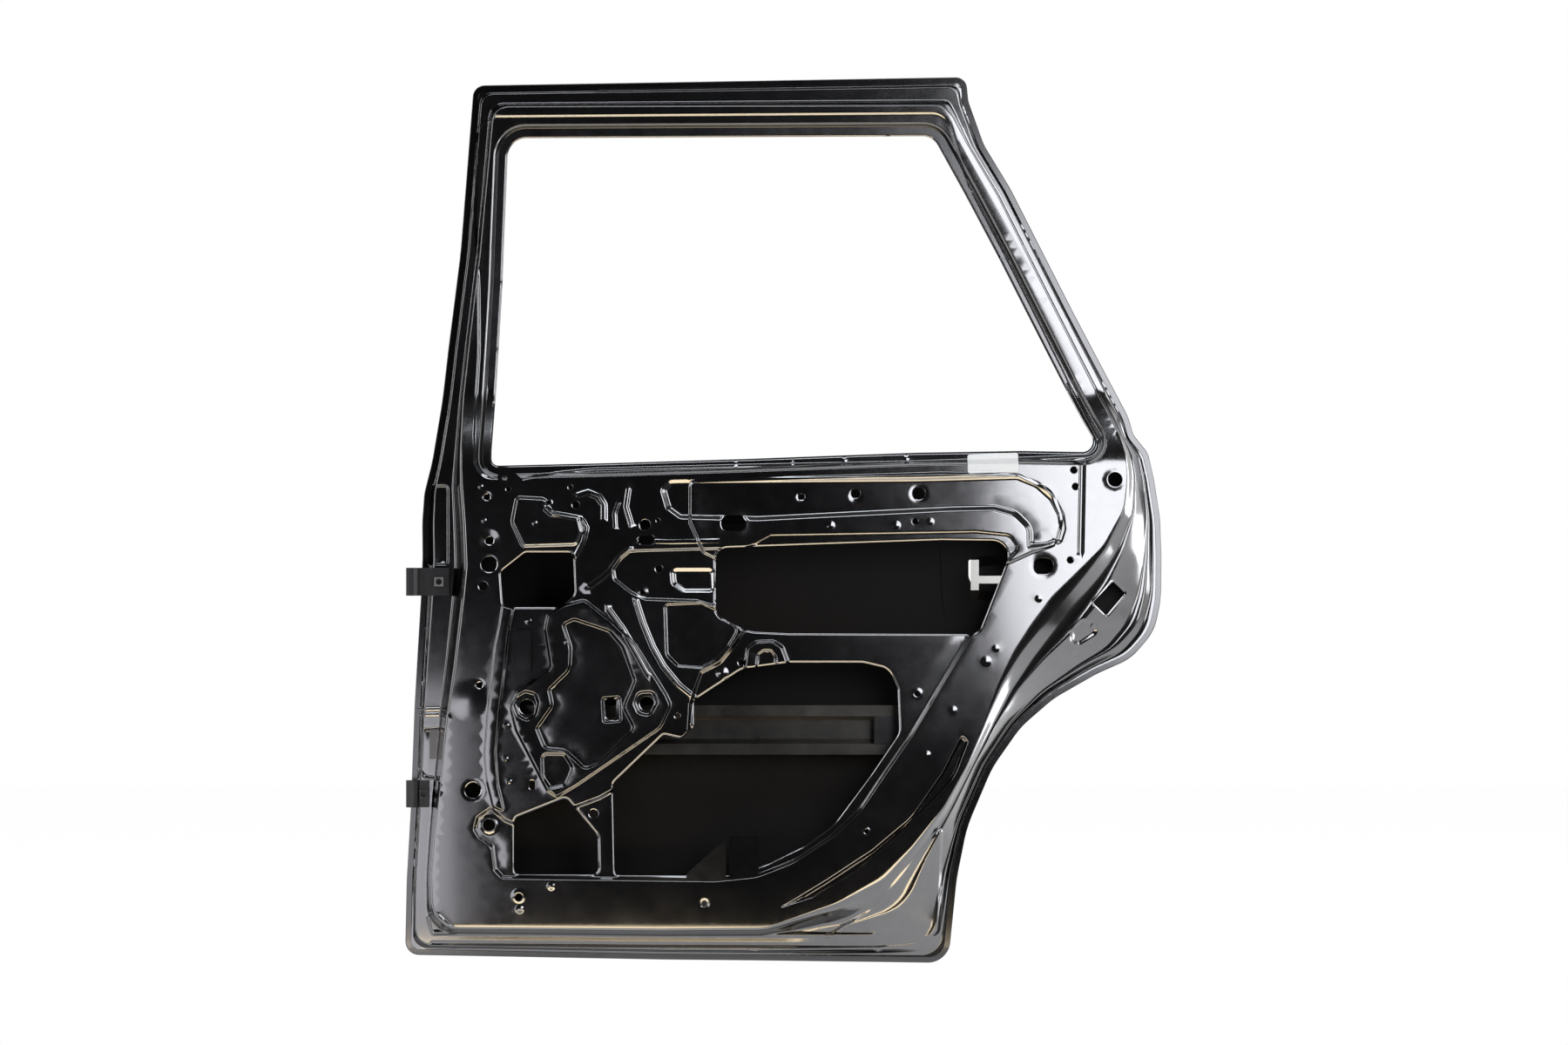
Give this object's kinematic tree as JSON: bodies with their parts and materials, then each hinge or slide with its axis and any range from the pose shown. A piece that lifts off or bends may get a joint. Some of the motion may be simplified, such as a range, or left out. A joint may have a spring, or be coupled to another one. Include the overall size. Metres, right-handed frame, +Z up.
{
  "type": "car door shell",
  "caption": "Pressed steel rear door shell for a car, with an integral window frame, service openings and hinge leaves, coated gloss black, without trim or glass.",
  "frame": {"origin": "on the hinge axis, midway between the two hinge leaves", "axes": "+X from the hinges to the rear edge, +Y out of the car through the skin, +Z up along the hinge axis"},
  "size_m": [1.0456, 0.1243, 1.2191],
  "materials": {
    "panel_coat": "gloss black dip coat on pressed steel",
    "skin_coat": "gloss black dip coat on pressed steel",
    "channel_coat": "gloss black dip coat",
    "reinforcement_coat": "gloss black dip coat",
    "beam_coat": "gloss black dip coat",
    "bracket_coat": "gloss black dip coat",
    "hinge_coat": "satin black dip coat on thick steel",
    "nut_zinc": "pale zinc"
  },
  "bodies": {
    "root": {"outer_panel": "skin_coat", "inner_panel": "panel_coat", "window_run_channel": "channel_coat", "inner_belt_reinforcement": "reinforcement_coat", "outer_belt_reinforcement": "reinforcement_coat", "upper_hinge_reinforcement": "reinforcement_coat", "lower_hinge_reinforcement": "reinforcement_coat", "check_reinforcement": "reinforcement_coat", "latch_reinforcement": "reinforcement_coat", "frame_foot_reinforcement": "reinforcement_coat", "handle_reinforcement": "reinforcement_coat", "side_beam": "beam_coat", "beam_front_bracket": "bracket_coat", "beam_rear_bracket": "bracket_coat", "upper_hinge_leaf": "hinge_coat", "lower_hinge_leaf": "hinge_coat", "upper_hinge_nut": "nut_zinc", "lower_hinge_nut": "nut_zinc", "box_bracket": "bracket_coat", "stop_bracket": "bracket_coat", "stop_gusset": "bracket_coat", "lock_rod_bracket": "bracket_coat", "window_corner_bracket": "bracket_coat"}
  },
  "joints": []
}
